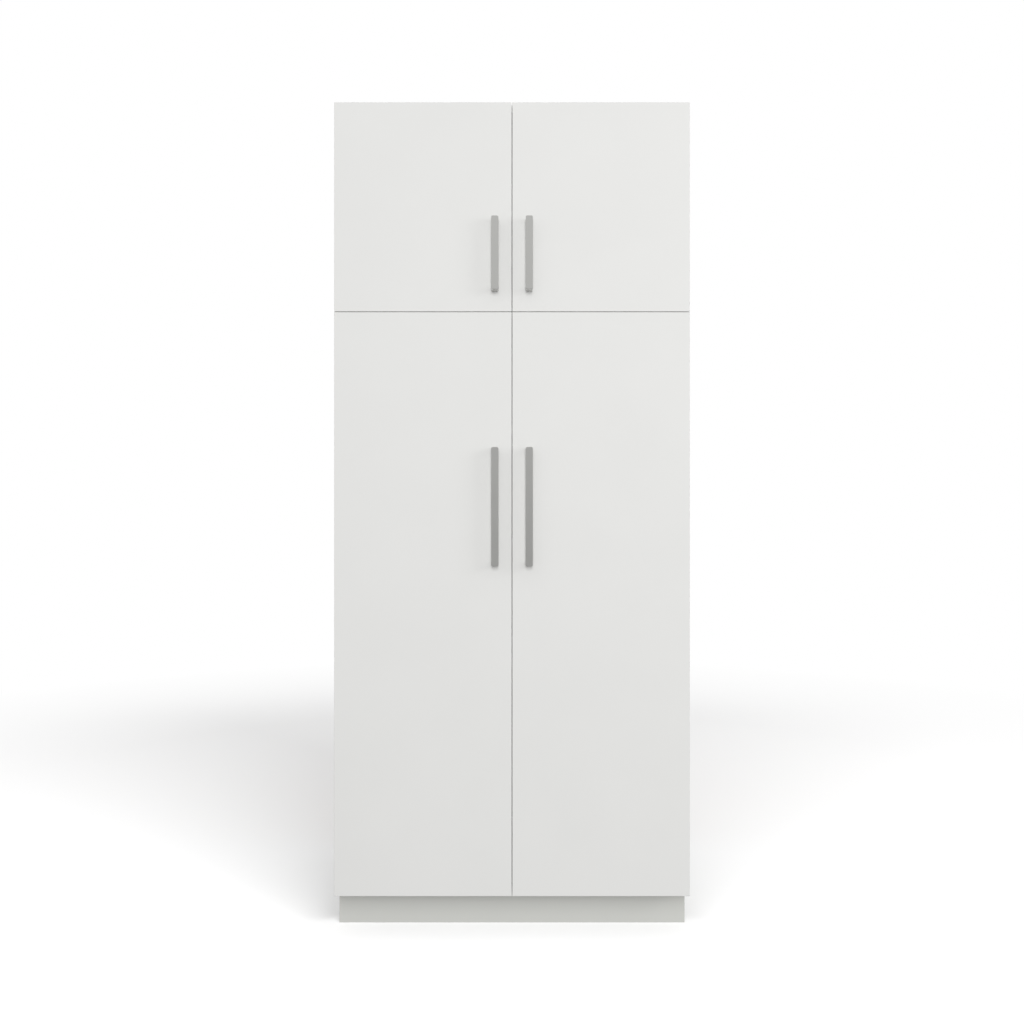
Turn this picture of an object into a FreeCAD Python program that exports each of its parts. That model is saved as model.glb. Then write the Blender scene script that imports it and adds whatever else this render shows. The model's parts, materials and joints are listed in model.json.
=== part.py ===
import FreeCAD, Part
import os
import re
import Sketcher

# Tall pantry cabinet with four slab doors, one pair above another, on a recessed plinth.
# Millimetres.  +X is the right side seen from the front, +Y the back, +Z up.
# The origin is at floor level, in the middle of the overall width and depth.

SIZES = [
    ("cabinet_width", 900, "over the two side panels"),
    ("cabinet_height", 2100, "floor to top panel"),
    ("carcass_depth", 560, "front edge to rear edge of a side panel"),
    ("board", 18, "thickness of the carcass boards"),
    ("back_board", 5, "thickness of the back panels"),
    ("groove", 8, "depth of the grooves that hold the back panels"),
    ("back_joint", 1565, "level where the two back panels meet"),
    ("plinth_height", 96, "floor to the underside of the carcass"),
    ("plinth_side_inset", 2, "plinth set in from each side"),
    ("plinth_front_inset", 51, "plinth set back from the carcass front"),
    ("plinth_rear_inset", 30, "plinth set in from the carcass rear"),
    ("block_size", 30, "plinth corner block, square"),
    ("block_height", 45, "plinth corner block"),
    ("block_screw_low", 12, "screws into the front and rear boards above a block's underside"),
    ("block_screw_high", 32, "screws into the side boards above a block's underside"),
    ("block_screw_aside", 8, "a block's level screws from the board beside them"),
    ("block_screw_shift", 2, "a block's upright screw from its middle"),
    ("block_screw_bite", 12, "a block's screws in the board they hold"),
    ("middle_level", 1570.5, "centre of the fixed shelf between the door pairs"),
    ("rail_height", 100, "rear rails at the top and the bottom"),
    ("middle_rail_height", 60, "rear rail behind the fixed shelf"),
    ("wall_hole_spacing", 600, "between the two wall fixing holes"),
    ("wall_hole_level", 2032, "height of the wall fixing holes"),
    ("wall_hole", 7, "diameter"),
    ("shelf_end_gap", 1, "between a loose shelf and a side panel"),
    ("shelf_setback", 15, "loose shelf behind the carcass front"),
    ("shelf_rear_gap", 2, "between a loose shelf and the back panel"),
    ("shelf_under_1", 389, "underside of the lowest loose shelf"),
    ("shelf_under_2", 682, "underside of the second loose shelf"),
    ("shelf_under_3", 975, "underside of the third loose shelf"),
    ("shelf_under_4", 1268, "underside of the fourth loose shelf"),
    ("shelf_under_5", 1821.8, "underside of the loose shelf in the top"),
    ("pin_hole", 5, "diameter of a shelf pin hole"),
    ("pin_hole_depth", 12, "in the side panel"),
    ("pin_hole_pitch", 32, "between shelf pin holes in a group"),
    ("pin_row_inset", 37, "shelf pin rows from the front and the back panel"),
    ("pin_drop", 3, "shelf pin centre below the shelf"),
    ("pin_reach", 9, "shelf pin out of the side panel"),
    ("pin_tongue", 1.5, "thickness of the shelf pin's flat tongue"),
    ("pin_tongue_width", 10, "width of the shelf pin's flat tongue"),
    ("pin_collar", 1, "thickness of the shelf pin's collar"),
    ("pin_end_gap", 1, "between a shelf pin and the bottom of its hole"),
    ("cam_diameter", 15, "cam lock"),
    ("cam_depth", 13.5, "cam lock"),
    ("cam_inset", 34, "cam centre from the end of its board"),
    ("bolt_bore", 8, "hole for the cam bolt in the end of a board"),
    ("bolt_diameter", 6, "cam bolt"),
    ("bolt_depth", 11, "cam bolt in the side panel"),
    ("bolt_shank_end", 4, "end of the cam bolt's shank before the cam's centre"),
    ("bolt_neck_diameter", 4, "cam bolt behind its head"),
    ("bolt_neck_length", 3, "cam bolt behind its head"),
    ("bolt_head_diameter", 7, "cam bolt"),
    ("bolt_head_length", 3.5, "cam bolt"),
    ("bolt_way_past", 5, "the bolt's way into the cam past the cam's centre"),
    ("dowel_diameter", 8, "wooden dowel"),
    ("dowel_side_depth", 10, "dowel in the side panel"),
    ("dowel_end_depth", 20, "dowel in the end of a board"),
    ("cam_front", 60, "front cam from the carcass front"),
    ("dowel_front", 92, "front dowel from the carcass front"),
    ("dowel_rear", 418, "rear dowel from the carcass front"),
    ("cam_rear", 450, "rear cam from the carcass front"),
    ("rail_joint_offset", 15, "cam above and dowel below a rail's centre line"),
    ("door_thickness", 18, "all four doors"),
    ("door_standoff", 3, "door back to carcass front"),
    ("door_gap", 1.5, "between two doors"),
    ("door_side_reveal", 1.5, "door edge inside the carcass side"),
    ("door_end_reveal", 1, "door edge inside the carcass top and bottom"),
    ("door_edge_radius", 1, "edging of a door"),
    ("bumper_radius", 3, "door bumper"),
    ("bumper_height", 2.9, "door bumper"),
    ("bumper_inset", 4, "bumper centre from a door's upper or lower edge"),
    ("bumper_offset", 21.5, "bumper centre from the middle of the cabinet"),
    ("handle_offset", 43, "handle centre from the middle of the cabinet"),
    ("handle_projection", 29, "handle out of the door"),
    ("handle_width", 18, "handle"),
    ("handle_bar", 8, "thickness of the grip"),
    ("handle_leg", 10, "length of each leg along the handle"),
    ("handle_corner", 4, "corner radius of the handle seen from the front"),
    ("handle_edge", 1, "rounding of the grip's front edges"),
    ("lower_handle_length", 298, "overall"),
    ("lower_handle_level", 1079, "centre height"),
    ("upper_handle_length", 184, "overall"),
    ("upper_handle_level", 1712.7, "centre height"),
    ("handle_screw", 4, "diameter"),
    ("handle_screw_hole", 5, "diameter in the door"),
    ("handle_screw_reach", 16, "screw inside the handle's leg"),
    ("screw_head", 8, "handle screw head diameter"),
    ("screw_head_height", 2.4, "handle screw head"),
    ("cup_diameter", 35, "hinge cup"),
    ("cup_depth", 12.5, "hinge cup in the door"),
    ("cup_offset", 20.5, "cup centre from the door's hinge edge"),
    ("cup_floor", 0.8, "thickness of the cup's floor"),
    ("cup_hollow_radius", 13, "room for the arm inside the cup"),
    ("cup_hollow_offset", 21.5, "centre of that room from the door's hinge edge"),
    ("cup_slot_start", 4.6, "slot for the knuckle from the door's hinge edge"),
    ("cup_slot_height", 8.6, "slot for the knuckle"),
    ("flange_thickness", 1.2, "cup flange"),
    ("flange_length", 60, "cup flange along the door's edge"),
    ("flange_width", 21, "cup flange across"),
    ("flange_screw_offset", 24, "cup screw above and below the cup's centre"),
    ("cup_screw", 3.5, "diameter"),
    ("cup_screw_length", 12, "in the door"),
    ("cup_screw_head", 6.4, "diameter"),
    ("cup_screw_head_height", 1.2, "cup screw head"),
    ("pin_offset", 6.8, "hinge pin from the door's hinge edge"),
    ("pin_setback", 9.5, "hinge pin from the door's back"),
    ("pin_diameter", 2.2, "hinge pin"),
    ("pin_length", 15, "hinge pin"),
    ("knuckle_bore", 2.3, "arm's hole for the pin"),
    ("knuckle_diameter", 4, "end of the arm round the pin"),
    ("arm_height", 8, "bent part of the arm"),
    ("arm_reach", 17.7, "bent part of the arm from the pin"),
    ("arm_sheet", 2, "thickness of the arm's sheet"),
    ("arm_front", 1.4, "front face of the arm's neck before the pin"),
    ("arm_body_start", 3, "straight arm behind the carcass front"),
    ("arm_body_end", 72, "rear end of the straight arm"),
    ("arm_body_height", 12, "straight arm"),
    ("arm_body_depth", 7, "straight arm out of the mounting plate"),
    ("plate_thickness", 3, "mounting plate"),
    ("plate_start", 20, "mounting plate behind the carcass front"),
    ("plate_end", 76, "rear end of the mounting plate"),
    ("plate_height", 16, "mounting plate"),
    ("wing_width", 15, "wings of the mounting plate"),
    ("wing_length", 46, "over both wings"),
    ("plate_screw_offset", 16, "screws above and below the plate's centre"),
    ("plate_screw_line", 37, "screws behind the carcass front"),
    ("plate_screw", 4, "diameter"),
    ("plate_screw_length", 12, "in the side panel"),
    ("plate_screw_head", 7, "diameter"),
    ("plate_screw_cone", 1.8, "height of the countersunk head"),
    ("adjuster_diameter", 5, "adjusting screw on the arm"),
    ("adjuster_sink", 2, "adjusting screw inside the arm"),
    ("adjuster_stand", 0.5, "adjusting screw out of the arm"),
    ("adjuster_front", 26, "front adjusting screw behind the carcass front"),
    ("adjuster_rear", 60, "rear adjusting screw behind the carcass front"),
    ("hinge_level_1", 187, "lower doors, lowest hinge"),
    ("hinge_level_2", 837.5, "lower doors, middle hinge"),
    ("hinge_level_3", 1479, "lower doors, top hinge"),
    ("hinge_level_4", 1652, "upper doors, lower hinge"),
    ("hinge_level_5", 2019, "upper doors, upper hinge"),
    ("wood_screw", 4, "diameter of the plinth and back screws"),
    ("wood_screw_head", 8, "diameter"),
    ("wood_screw_cone", 2, "height of the countersunk head"),
    ("recess_length", 3.6, "cross recess of a screw, tip to tip"),
    ("recess_width", 0.8, "cross recess of a screw"),
    ("recess_depth", 0.9, "cross recess of a screw"),
    ("cam_recess_length", 8, "cross recess of a cam lock, tip to tip"),
    ("cam_recess_width", 1.8, "cross recess of a cam lock"),
    ("cam_recess_depth", 2, "cross recess of a cam lock"),
]

doc = FreeCAD.newDocument("pantry_cabinet")
sheet = doc.addObject("Spreadsheet::Sheet", "Sizes")
for row, (alias, value, note) in enumerate(SIZES, 1):
    sheet.set(f"A{row}", note)
    sheet.set(f"B{row}", str(value))
    sheet.setAlias(f"B{row}", alias)
doc.recompute()

ALIASES = {alias for alias, value, note in SIZES}
NODES = []

# Planes of the cabinet, written with the names of the sizes.
FRONT = "((handle_projection + door_thickness + door_standoff - carcass_depth) / 2)"
REAR = f"({FRONT} + carcass_depth)"
DOOR_BACK = f"({FRONT} - door_standoff)"
DOOR_FRONT = f"({DOOR_BACK} - door_thickness)"
INNER = "(cabinet_width / 2 - board)"
BACK_FRONT = f"({REAR} - board - back_board)"
RAIL_FRONT = f"({REAR} - board)"
RAIL_CENTRE = f"({REAR} - board / 2)"
TOP_UNDER = "(cabinet_height - board)"
BOTTOM_TOP = "(plinth_height + board)"
MIDDLE_UNDER = "(middle_level - board / 2)"
MIDDLE_TOP = "(middle_level + board / 2)"
PLINTH_FRONT = f"({FRONT} + plinth_front_inset)"
PLINTH_REAR = f"({REAR} - plinth_rear_inset)"
PLINTH_SIDE = "(cabinet_width / 2 - plinth_side_inset)"

# Joints of a board between the side panels: cams and dowels along its end.
PANEL_CAMS = [f"({FRONT} + cam_front)", f"({FRONT} + cam_rear)"]
PANEL_DOWELS = [f"({FRONT} + dowel_front)", f"({FRONT} + dowel_rear)"]
PANEL_LEVELS = ["(cabinet_height - board / 2)", "middle_level", "(plinth_height + board / 2)"]
RAIL_LEVELS = [
    f"({TOP_UNDER} - rail_height / 2)",
    "middle_level",
    f"({BOTTOM_TOP} + rail_height / 2)",
]

# Each door: name, lower edge, upper edge, its hinge levels and its handle.
LOWER = {
    "under": "(plinth_height + door_end_reveal)",
    "over": "(middle_level - door_gap / 2)",
    "hinges": ["hinge_level_1", "hinge_level_2", "hinge_level_3"],
    "handle": "lower_handle",
}
UPPER = {
    "under": "(middle_level + door_gap / 2)",
    "over": "(cabinet_height - door_end_reveal)",
    "hinges": ["hinge_level_4", "hinge_level_5"],
    "handle": "upper_handle",
}
ROWS = {"upper": UPPER, "lower": LOWER}
SIDES = {"left": "-1", "right": "1"}


def sized(text):
    """Turn the names of sizes in a formula into references to the sheet."""
    return re.sub(r"[a-z_]+(_[0-9])?\b", lambda m: cell(m.group(0)), text)


def cell(word):
    if word not in ALIASES:
        raise ValueError(f"no size called {word}")
    return f"Sizes.{word}"


def bind(thing, prop, text):
    thing.setExpression(prop, sized(text))


def keep(thing, name):
    """Make this object one of the cabinet's pieces."""
    thing.Label = name
    NODES.append(thing)
    return thing


# ---- boards and other flat work: sketches, pads and pockets ----

def new_body(name):
    return doc.addObject("PartDesign::Body", name)


def sketch(body, role, offset):
    """A sketch parallel to an origin plane, moved along its normal."""
    drawn = body.newObject("Sketcher::SketchObject", body.Name + "_sketch")
    plane = next(f for f in body.Origin.OriginFeatures if f.Role == role)
    drawn.AttachmentSupport = [(plane, "")]
    drawn.MapMode = "FlatFace"
    bind(drawn, "AttachmentOffset.Base.z", offset)
    return drawn


def fix(drawn, kind, items, text):
    """A driving dimension of a sketch, bound to the sheet."""
    number = drawn.addConstraint(Sketcher.Constraint(kind, *items, 1.0))
    drawn.setExpression(f"Constraints[{number}]", sized(text))


def rectangle(drawn, across, up, width, height):
    corners = [(0, 0), (10, 0), (10, 10), (0, 10)]
    points = [FreeCAD.Vector(a, b, 0) for a, b in corners]
    first = drawn.GeometryCount
    for i in range(4):
        drawn.addGeometry(Part.LineSegment(points[i], points[(i + 1) % 4]), False)
    for i in range(4):
        ends = (first + i, 2, first + (i + 1) % 4, 1)
        drawn.addConstraint(Sketcher.Constraint("Coincident", *ends))
    for i in (0, 2):
        drawn.addConstraint(Sketcher.Constraint("Horizontal", first + i))
        drawn.addConstraint(Sketcher.Constraint("Vertical", first + i + 1))
    fix(drawn, "DistanceX", (-1, 1, first, 1), across)
    fix(drawn, "DistanceY", (-1, 1, first, 1), up)
    fix(drawn, "DistanceX", (first, 1, first, 2), width)
    fix(drawn, "DistanceY", (first + 1, 1, first + 1, 2), height)


def circle(drawn, across, up, diameter):
    round_hole = Part.Circle(FreeCAD.Vector(0, 0, 0), FreeCAD.Vector(0, 0, 1), 2)
    number = drawn.addGeometry(round_hole, False)
    fix(drawn, "DistanceX", (-1, 1, number, 3), across)
    fix(drawn, "DistanceY", (-1, 1, number, 3), up)
    fix(drawn, "Diameter", (number,), diameter)


def pad(body, drawn, length, backwards=False):
    made = body.newObject("PartDesign::Pad", body.Name + "_pad")
    made.Profile = drawn
    made.Reversed = backwards
    bind(made, "Length", length)
    return made


def pocket(body, drawn, depth, backwards=False):
    made = body.newObject("PartDesign::Pocket", body.Name + "_pocket")
    made.Profile = drawn
    made.Reversed = backwards
    bind(made, "Length", depth)
    return made


def round_edges(body, radius, wanted):
    """Fillet the edges of the body so far that the test picks."""
    doc.recompute()
    base = body.Tip
    names = [f"Edge{i}" for i, edge in enumerate(base.Shape.Edges, 1) if wanted(edge)]
    made = body.newObject("PartDesign::Fillet", body.Name + "_fillet")
    made.Base = (base, names)
    bind(made, "Radius", radius)


def is_along(edge, axis):
    if len(edge.Vertexes) != 2:
        return False
    run = edge.Vertexes[1].Point - edge.Vertexes[0].Point
    return abs(abs(run.dot(axis)) - run.Length) < 1e-6 and run.Length > 1e-6


def side_panel(name, hand):
    """The side stands between the plinth and the top, grooved and drilled on its inner face."""
    outward = hand == "-1"
    inner = f"{hand} * {INNER}"
    body = new_body(name)
    drawn = sketch(body, "YZ_Plane", inner)
    rectangle(drawn, FRONT, "plinth_height", "carcass_depth", "cabinet_height - plinth_height")
    pad(body, drawn, "board", outward)
    drawn = sketch(body, "YZ_Plane", inner)
    rectangle(drawn, BACK_FRONT, f"{BOTTOM_TOP} - groove", "back_board",
              f"{TOP_UNDER} - {BOTTOM_TOP} + 2 * groove")
    pocket(body, drawn, "groove", not outward)
    bolts = sketch(body, "YZ_Plane", inner)
    dowels = sketch(body, "YZ_Plane", inner)
    for level in PANEL_LEVELS:
        for place in PANEL_CAMS:
            circle(bolts, place, level, "bolt_diameter")
        for place in PANEL_DOWELS:
            circle(dowels, place, level, "dowel_diameter")
    for level in RAIL_LEVELS:
        circle(bolts, RAIL_CENTRE, f"{level} + rail_joint_offset", "bolt_diameter")
        circle(dowels, RAIL_CENTRE, f"{level} - rail_joint_offset", "dowel_diameter")
    pocket(body, bolts, "bolt_depth", not outward)
    pocket(body, dowels, "dowel_side_depth", not outward)
    screws = sketch(body, "YZ_Plane", inner)
    for level in LOWER["hinges"] + UPPER["hinges"]:
        for step in ("-", "+"):
            circle(screws, f"{FRONT} + plate_screw_line", f"{level} {step} plate_screw_offset",
                   "plate_screw")
    pocket(body, screws, "plate_screw_length", not outward)
    # Shelf pin holes: the lowest hole of each group is drawn, and the group is its pattern.
    holes = sketch(body, "YZ_Plane", inner)
    for number in range(1, 6):
        for place in (f"{FRONT} + pin_row_inset", f"{BACK_FRONT} - pin_row_inset"):
            circle(holes, place, f"shelf_under_{number} - pin_drop - 2 * pin_hole_pitch",
                   "pin_hole")
    drilled = pocket(body, holes, "pin_hole_depth", not outward)
    doc.recompute()
    group = body.newObject("PartDesign::LinearPattern", body.Name + "_pattern")
    group.Originals = [drilled]
    axis = next(f for f in body.Origin.OriginFeatures if f.Role == "Z_Axis")
    group.Direction = (axis, [""])
    group.Occurrences = 5
    bind(group, "Length", "4 * pin_hole_pitch")
    body.Tip = group
    return keep(body, name)


def end_joints(body, cams, dowels, at):
    """Holes in both ends of a board for its cam bolts and dowels."""
    for hand, inward in (("-1", True), ("1", False)):
        drawn = sketch(body, "YZ_Plane", f"{hand} * {INNER}")
        for place in cams:
            circle(drawn, *at(place), "bolt_bore")
        pocket(body, drawn, "cam_inset", inward)
        drawn = sketch(body, "YZ_Plane", f"{hand} * {INNER}")
        for place in dowels:
            circle(drawn, *at(place), "dowel_diameter")
        pocket(body, drawn, "dowel_end_depth", inward)


def cam_holes(body, role, offset, cams, upwards):
    drawn = sketch(body, role, offset)
    for hand in ("-1", "1"):
        for place in cams:
            circle(drawn, f"{hand} * ({INNER} - cam_inset)", place, "cam_diameter")
    pocket(body, drawn, "cam_depth", upwards)


def cross_panel(name, centre, depth, cams_above):
    """A board between the sides.  Its cams are on the face that is out of sight."""
    body = new_body(name)
    drawn = sketch(body, "XY_Plane", f"{centre} - board / 2")
    rectangle(drawn, f"-{INNER}", FRONT, f"2 * {INNER}", depth)
    pad(body, drawn, "board")
    end_joints(body, PANEL_CAMS, PANEL_DOWELS, lambda place: (place, centre))
    if cams_above:
        cam_holes(body, "XY_Plane", f"{centre} + board / 2", PANEL_CAMS, False)
    else:
        cam_holes(body, "XY_Plane", f"{centre} - board / 2", PANEL_CAMS, True)
    return body


def back_groove(body, face, upwards):
    drawn = sketch(body, "XY_Plane", face)
    rectangle(drawn, f"-{INNER}", BACK_FRONT, f"2 * {INNER}", "back_board")
    pocket(body, drawn, "groove", upwards)


def rear_rail(name, centre, height):
    body = new_body(name)
    drawn = sketch(body, "XZ_Plane", f"-{REAR}")
    rectangle(drawn, f"-{INNER}", f"{centre} - {height} / 2", f"2 * {INNER}", height)
    pad(body, drawn, "board")
    cams = [f"({centre} + rail_joint_offset)"]
    dowels = [f"({centre} - rail_joint_offset)"]
    end_joints(body, cams, dowels, lambda place: (RAIL_CENTRE, place))
    cam_holes(body, "XZ_Plane", f"-{REAR}", cams, True)
    return body


def holes_along_y(body, start, spots, diameter, depth, forwards):
    """Round holes along Y that start on the plane Y = start."""
    drawn = sketch(body, "XZ_Plane", f"-{start}")
    for across, up in spots:
        circle(drawn, across, up, diameter)
    pocket(body, drawn, depth, forwards)


def countersink(body, size):
    """Widen the mouths of the small holes in the rear face for screw heads."""
    doc.recompute()
    base = body.Tip
    rear = base.Shape.BoundBox.YMax
    names = []
    for i, edge in enumerate(base.Shape.Edges, 1):
        small = isinstance(edge.Curve, Part.Circle) and edge.Curve.Radius < 3
        if small and abs(edge.Curve.Center.y - rear) < 1e-6:
            names.append(f"Edge{i}")
    made = body.newObject("PartDesign::Chamfer", body.Name + "_chamfer")
    made.Base = (base, names)
    bind(made, "Size", size)


def plain_board(name, role, offset, sheet_rectangle, thickness):
    body = new_body(name)
    drawn = sketch(body, role, offset)
    rectangle(drawn, *sheet_rectangle)
    pad(body, drawn, thickness)
    return body


side_panel("side_panel_left", "-1")
side_panel("side_panel_right", "1")

top_panel = cross_panel("top_panel", PANEL_LEVELS[0], "carcass_depth", True)
back_groove(top_panel, TOP_UNDER, True)
keep(top_panel, "top_panel")

bottom_panel = cross_panel("bottom_panel", PANEL_LEVELS[2], "carcass_depth", False)
back_groove(bottom_panel, BOTTOM_TOP, False)

middle_shelf = cross_panel("middle_fixed_shelf", "middle_level",
                           "carcass_depth - board - back_board", False)

# Screws through the middle rail and the upper back panel into the fixed shelf.
BACK_SCREW_LEVEL = "(middle_level + 2)"
BACK_SCREWS = [(f"{n} * wall_hole_spacing / 6", BACK_SCREW_LEVEL) for n in ("-3", "-1", "1", "3")]
BACK_SCREW_BITE = "(board + back_board - 3)"
holes_along_y(middle_shelf, BACK_FRONT, BACK_SCREWS, "wood_screw", BACK_SCREW_BITE, True)
keep(middle_shelf, "middle_fixed_shelf")

WALL_HOLES = [(f"{n} * wall_hole_spacing / 2", "wall_hole_level") for n in ("-1", "1")]


def back_panel(name, under, over):
    body = plain_board(name, "XZ_Plane", f"-{RAIL_FRONT}",
                       (f"-({INNER} + groove)", under, f"2 * ({INNER} + groove)",
                        f"{over} - {under}"), "back_board")
    return body


lower_back = back_panel("back_panel_lower", f"({BOTTOM_TOP} - groove)", "back_joint")
keep(lower_back, "back_panel_lower")
upper_back = back_panel("back_panel_upper", "back_joint", f"({TOP_UNDER} + groove)")
holes_along_y(upper_back, RAIL_FRONT, WALL_HOLES, "wall_hole", "back_board", True)
holes_along_y(upper_back, RAIL_FRONT, BACK_SCREWS, "wood_screw", "back_board", True)
keep(upper_back, "back_panel_upper")

top_rail = rear_rail("rear_rail_top", RAIL_LEVELS[0], "rail_height")
holes_along_y(top_rail, REAR, WALL_HOLES, "wall_hole", "board", True)
keep(top_rail, "rear_rail_top")
middle_rail = rear_rail("rear_rail_middle", RAIL_LEVELS[1], "middle_rail_height")
holes_along_y(middle_rail, REAR, BACK_SCREWS, "wood_screw", "board", True)
countersink(middle_rail, "wood_screw_cone")
keep(middle_rail, "rear_rail_middle")
keep(rear_rail("rear_rail_bottom", RAIL_LEVELS[2], "rail_height"), "rear_rail_bottom")

for number in range(1, 6):
    name = "shelf_upper" if number == 5 else f"shelf_lower_{number}"
    width = f"2 * ({INNER} - shelf_end_gap)"
    depth = f"{BACK_FRONT} - shelf_rear_gap - {FRONT} - shelf_setback"
    shelf = plain_board(name, "XY_Plane", f"shelf_under_{number}",
                        (f"-({INNER} - shelf_end_gap)", f"{FRONT} + shelf_setback", width, depth),
                        "board")
    keep(shelf, name)

# ---- plinth: a frame of boards with a corner block in each inner corner ----

PLINTH_LENGTH = f"({PLINTH_REAR} - {PLINTH_FRONT} - 2 * board)"
FRONT_INSIDE = f"({PLINTH_FRONT} + board)"
REAR_INSIDE = f"({PLINTH_REAR} - board)"
SIDE_INSIDE = f"({PLINTH_SIDE} - board)"
BLOCK_UNDER = "(plinth_height - block_height)"
SCREW_LOW = f"({BLOCK_UNDER} + block_screw_low)"
SCREW_HIGH = f"({BLOCK_UNDER} + block_screw_high)"
SCREW_ASIDE = "block_screw_aside"
BITE = "block_screw_bite"

front_board = plain_board("plinth_front", "XZ_Plane", f"-{FRONT_INSIDE}",
                          (f"-{PLINTH_SIDE}", "0", f"2 * {PLINTH_SIDE}", "plinth_height"), "board")
spots = [(f"{n} * ({SIDE_INSIDE} - {SCREW_ASIDE})", SCREW_LOW) for n in ("-1", "1")]
holes_along_y(front_board, FRONT_INSIDE, spots, "wood_screw", BITE, True)
keep(front_board, "plinth_front")
rear_board = plain_board("plinth_rear", "XZ_Plane", f"-{PLINTH_REAR}",
                         (f"-{PLINTH_SIDE}", "0", f"2 * {PLINTH_SIDE}", "plinth_height"), "board")
holes_along_y(rear_board, REAR_INSIDE, spots, "wood_screw", BITE, False)
keep(rear_board, "plinth_rear")
for side, hand in SIDES.items():
    start = f"-{PLINTH_SIDE}" if side == "left" else SIDE_INSIDE
    body = plain_board(f"plinth_side_{side}", "YZ_Plane", start,
                       (FRONT_INSIDE, "0", PLINTH_LENGTH, "plinth_height"), "board")
    drawn = sketch(body, "YZ_Plane", f"{hand} * {SIDE_INSIDE}")
    circle(drawn, f"{FRONT_INSIDE} + {SCREW_ASIDE}", SCREW_HIGH, "wood_screw")
    circle(drawn, f"{REAR_INSIDE} - {SCREW_ASIDE}", SCREW_HIGH, "wood_screw")
    pocket(body, drawn, BITE, side == "right")
    keep(body, f"plinth_side_{side}")
keep(plain_board("plinth_brace", "YZ_Plane", "-board / 2",
                 (FRONT_INSIDE, "0", PLINTH_LENGTH, "plinth_height"), "board"), "plinth_brace")

# Upright screws through the corner blocks into the bottom panel.
BLOCK_MIDDLE = "(block_size / 2 + block_screw_shift)"
drawn = sketch(bottom_panel, "XY_Plane", "plinth_height")
for n in ("-1", "1"):
    circle(drawn, f"{n} * ({SIDE_INSIDE} - {BLOCK_MIDDLE})", f"{FRONT_INSIDE} + {BLOCK_MIDDLE}",
           "wood_screw")
    circle(drawn, f"{n} * ({SIDE_INSIDE} - {BLOCK_MIDDLE})", f"{REAR_INSIDE} - {BLOCK_MIDDLE}",
           "wood_screw")
pocket(bottom_panel, drawn, BITE, True)
keep(bottom_panel, "bottom_panel")


# ---- doors and handles ----

def edge_line(hand):
    """X of a door's hinge edge."""
    return f"{hand} * (cabinet_width / 2 - door_side_reveal)"


def door(name, row, hand):
    body = new_body(name)
    width = "(cabinet_width / 2 - door_side_reveal - door_gap / 2)"
    start = edge_line(hand) if hand == "-1" else "door_gap / 2"
    drawn = sketch(body, "XZ_Plane", f"-{DOOR_BACK}")
    rectangle(drawn, start, row["under"], width, f"{row['over']} - {row['under']}")
    pad(body, drawn, "door_thickness")
    cups = sketch(body, "XZ_Plane", f"-{DOOR_BACK}")
    screws = sketch(body, "XZ_Plane", f"-{DOOR_BACK}")
    across = f"{edge_line(hand)} - {hand} * cup_offset"
    for level in row["hinges"]:
        circle(cups, across, level, "cup_diameter")
        circle(screws, across, f"{level} - flange_screw_offset", "cup_screw")
        circle(screws, across, f"{level} + flange_screw_offset", "cup_screw")
    pocket(body, cups, "cup_depth", True)
    pocket(body, screws, "cup_screw_length", True)
    holes_along_y(body, DOOR_BACK, handle_spots(row, hand), "handle_screw_hole",
                  "door_thickness", True)
    y_axis = FreeCAD.Vector(0, 1, 0)
    outside = body_front_edges(body)
    round_edges(body, "door_edge_radius",
                lambda e: outside(e) or (is_along(e, y_axis) and e.Length > 17))
    return keep(body, name)


def body_front_edges(body):
    """A test for the straight edges round the front face of a door."""
    doc.recompute()
    front = body.Tip.Shape.BoundBox.YMin

    def test(edge):
        if len(edge.Vertexes) != 2:
            return False
        return all(abs(v.Y - front) < 1e-6 for v in edge.Vertexes)
    return test


def handle_spots(row, hand):
    """Centres of the two screws of a handle."""
    kind = row["handle"]
    half = f"({kind}_length / 2 - handle_leg / 2)"
    across = f"{hand} * handle_offset"
    return [(across, f"{kind}_level - {half}"), (across, f"{kind}_level + {half}")]


def handle(name, row, hand):
    """A flat bar bent back at both ends, square legs against the door."""
    kind = row["handle"]
    body = new_body(name)
    drawn = sketch(body, "XZ_Plane", f"-{DOOR_FRONT}")
    rectangle(drawn, f"{hand} * handle_offset - handle_width / 2",
              f"{kind}_level - {kind}_length / 2", "handle_width", f"{kind}_length")
    pad(body, drawn, "handle_projection")
    y_axis = FreeCAD.Vector(0, 1, 0)
    round_edges(body, "handle_corner", lambda e: is_along(e, y_axis))
    drawn = sketch(body, "YZ_Plane", f"{hand} * handle_offset - handle_width / 2")
    grip = "(handle_projection - handle_bar)"
    rectangle(drawn, f"{DOOR_FRONT} - {grip}", f"{kind}_level - {kind}_length / 2 + handle_leg",
              f"{grip} + 5", f"{kind}_length - 2 * handle_leg")
    pocket(body, drawn, "handle_width", True)
    holes_along_y(body, DOOR_FRONT, handle_spots(row, hand), "handle_screw",
                  "handle_screw_reach", True)
    doc.recompute()
    front = body.Tip.Shape.BoundBox.YMin
    round_edges(body, "handle_edge",
                lambda e: all(abs(v.Y - front) < 1e-6 for v in e.Vertexes))
    return keep(body, name)


# ---- fittings: cylinders, cones and blocks ----

TURNS = {
    "X": FreeCAD.Rotation(FreeCAD.Vector(0, 1, 0), 90),
    "-X": FreeCAD.Rotation(FreeCAD.Vector(0, 1, 0), -90),
    "Y": FreeCAD.Rotation(FreeCAD.Vector(1, 0, 0), -90),
    "-Y": FreeCAD.Rotation(FreeCAD.Vector(1, 0, 0), 90),
    "Z": FreeCAD.Rotation(),
}


def put(thing, at, axis="Z"):
    thing.Placement = FreeCAD.Placement(FreeCAD.Vector(0, 0, 0), TURNS[axis])
    for letter, text in zip("xyz", at):
        bind(thing, f"Placement.Base.{letter}", text)
    return thing


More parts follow.
